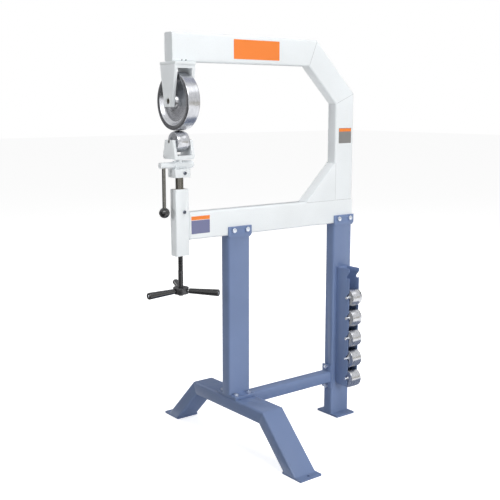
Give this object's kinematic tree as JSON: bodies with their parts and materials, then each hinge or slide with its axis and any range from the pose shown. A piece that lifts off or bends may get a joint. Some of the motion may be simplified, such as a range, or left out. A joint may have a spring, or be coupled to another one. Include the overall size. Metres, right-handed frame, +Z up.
{
  "type": "english wheel",
  "caption": "Floor-standing hand cranked wheeling machine: white C frame with an upper wheel over a lower anvil roll, on a slate blue stand with a rack of spare anvils.",
  "frame": {"origin": "on the floor, under the middle of the machine's bounding box", "axes": "+Z up; +X from the rolls to the back of the throat, along the rolls' axles; the side seen in front faces -Y"},
  "size_m": [0.9921, 0.882, 1.558],
  "materials": {
    "white_paint": "gloss",
    "blue_paint": "satin",
    "ground_steel": "ground",
    "dark_steel": "oiled",
    "black_oxide": "matte",
    "zinc_plate": "bright",
    "black_plastic": "gloss",
    "bronze": "plain"
  },
  "bodies": {
    "frame": {"top_beam": "white_paint", "diagonal_beam": "white_paint", "column": "white_paint", "lower_beam": "white_paint", "corner_gusset": "white_paint", "fork_plate": "white_paint", "fork": "white_paint", "wheel_axle": "dark_steel", "axle_nut": "dark_steel", "sleeve": "white_paint", "guide_bush": "bronze", "screw_nut": "ground_steel", "sleeve_bolt": "black_oxide", "front_post": "blue_paint", "rear_post": "blue_paint", "saddle_bolt_front_left": "zinc_plate", "saddle_bolt_front_right": "zinc_plate", "saddle_bolt_rear_left": "zinc_plate", "saddle_bolt_rear_right": "zinc_plate", "cross_member": "blue_paint", "base_bolt_front_left": "zinc_plate", "base_bolt_front_right": "zinc_plate", "base_bolt_back_left": "zinc_plate", "base_bolt_back_right": "zinc_plate", "left_leg": "blue_paint", "right_leg": "blue_paint", "brace": "blue_paint", "brace_bolt_upper": "zinc_plate", "brace_bolt_lower": "zinc_plate", "rack": "blue_paint"},
    "wheel": {"upper_wheel": "ground_steel", "wheel_bearing_front": "ground_steel", "wheel_bearing_back": "ground_steel"},
    "lift_post": {"lift_shaft": "dark_steel", "cam_housing": "white_paint", "housing_screw": "black_oxide"},
    "hand_screw": {"lifting_screw": "black_oxide", "handle_hub": "black_oxide", "spoke_1": "ground_steel", "spoke_2": "ground_steel", "spoke_3": "ground_steel", "grip_1": "black_plastic", "grip_2": "black_plastic", "grip_3": "black_plastic"},
    "release_cam": {"cam_shaft": "white_paint", "lever_rod": "dark_steel", "ball_knob": "black_plastic"},
    "anvil_yoke": {"yoke": "white_paint", "anvil_axle": "dark_steel"},
    "anvil": {"anvil": "ground_steel"},
    "spare_axle_1": {"spare_axle_1": "zinc_plate"},
    "spare_anvil_1": {"spare_anvil_1": "ground_steel"},
    "spare_axle_2": {"spare_axle_2": "zinc_plate"},
    "spare_anvil_2": {"spare_anvil_2": "ground_steel"},
    "spare_axle_3": {"spare_axle_3": "zinc_plate"},
    "spare_anvil_3": {"spare_anvil_3": "ground_steel"},
    "spare_axle_4": {"spare_axle_4": "zinc_plate"},
    "spare_anvil_4": {"spare_anvil_4": "ground_steel"},
    "spare_axle_5": {"spare_axle_5": "zinc_plate"},
    "spare_anvil_5": {"spare_anvil_5": "ground_steel"}
  },
  "joints": [
    {"name": "wheel_spin", "type": "hinge", "parent": "frame", "child": "wheel", "pos_m": [-0.346, 0, 1.3226], "axis": [1, 0, 0], "continuous": true},
    {"name": "post_slide", "type": "slide", "parent": "frame", "child": "lift_post", "axis": [0, 0, 1], "range_m": [-0.036, 0]},
    {"name": "screw_turn", "type": "hinge", "parent": "lift_post", "child": "hand_screw", "pos_m": [-0.346, 0, 0.644], "axis": [0, 0, 1], "range_deg": [-3060, 0]},
    {"name": "cam_turn", "type": "hinge", "parent": "lift_post", "child": "release_cam", "pos_m": [-0.346, 0, 1.1], "axis": [1, 0, 0], "range_deg": [0, 90]},
    {"name": "yoke_slide", "type": "slide", "parent": "lift_post", "child": "anvil_yoke", "axis": [0, 0, 1], "range_m": [-0.004, 0]},
    {"name": "anvil_spin", "type": "hinge", "parent": "anvil_yoke", "child": "anvil", "pos_m": [-0.346, 0, 1.1826], "axis": [1, 0, 0], "continuous": true},
    {"name": "spare_lift_1", "type": "slide", "parent": "frame", "child": "spare_axle_1", "axis": [0, -0.866, 0.5], "range_m": [0, 0.028]},
    {"name": "spare_spin_1", "type": "hinge", "parent": "spare_axle_1", "child": "spare_anvil_1", "pos_m": [0.444, -0.0865, 0.176], "axis": [1, 0, 0], "continuous": true},
    {"name": "spare_lift_2", "type": "slide", "parent": "frame", "child": "spare_axle_2", "axis": [0, -0.866, 0.5], "range_m": [0, 0.028]},
    {"name": "spare_spin_2", "type": "hinge", "parent": "spare_axle_2", "child": "spare_anvil_2", "pos_m": [0.444, -0.0865, 0.2628], "axis": [1, 0, 0], "continuous": true},
    {"name": "spare_lift_3", "type": "slide", "parent": "frame", "child": "spare_axle_3", "axis": [0, -0.866, 0.5], "range_m": [0, 0.028]},
    {"name": "spare_spin_3", "type": "hinge", "parent": "spare_axle_3", "child": "spare_anvil_3", "pos_m": [0.444, -0.0865, 0.3496], "axis": [1, 0, 0], "continuous": true},
    {"name": "spare_lift_4", "type": "slide", "parent": "frame", "child": "spare_axle_4", "axis": [0, -0.866, 0.5], "range_m": [0, 0.028]},
    {"name": "spare_spin_4", "type": "hinge", "parent": "spare_axle_4", "child": "spare_anvil_4", "pos_m": [0.444, -0.0865, 0.4364], "axis": [1, 0, 0], "continuous": true},
    {"name": "spare_lift_5", "type": "slide", "parent": "frame", "child": "spare_axle_5", "axis": [0, -0.866, 0.5], "range_m": [0, 0.028]},
    {"name": "spare_spin_5", "type": "hinge", "parent": "spare_axle_5", "child": "spare_anvil_5", "pos_m": [0.444, -0.0865, 0.5232], "axis": [1, 0, 0], "continuous": true}
  ],
  "couplings": [
    {"joint": "post_slide", "follows": "screw_turn", "m_per_rad": 0.00067322},
    {"joint": "yoke_slide", "follows": "cam_turn", "m_per_rad": -0.0025464}
  ]
}
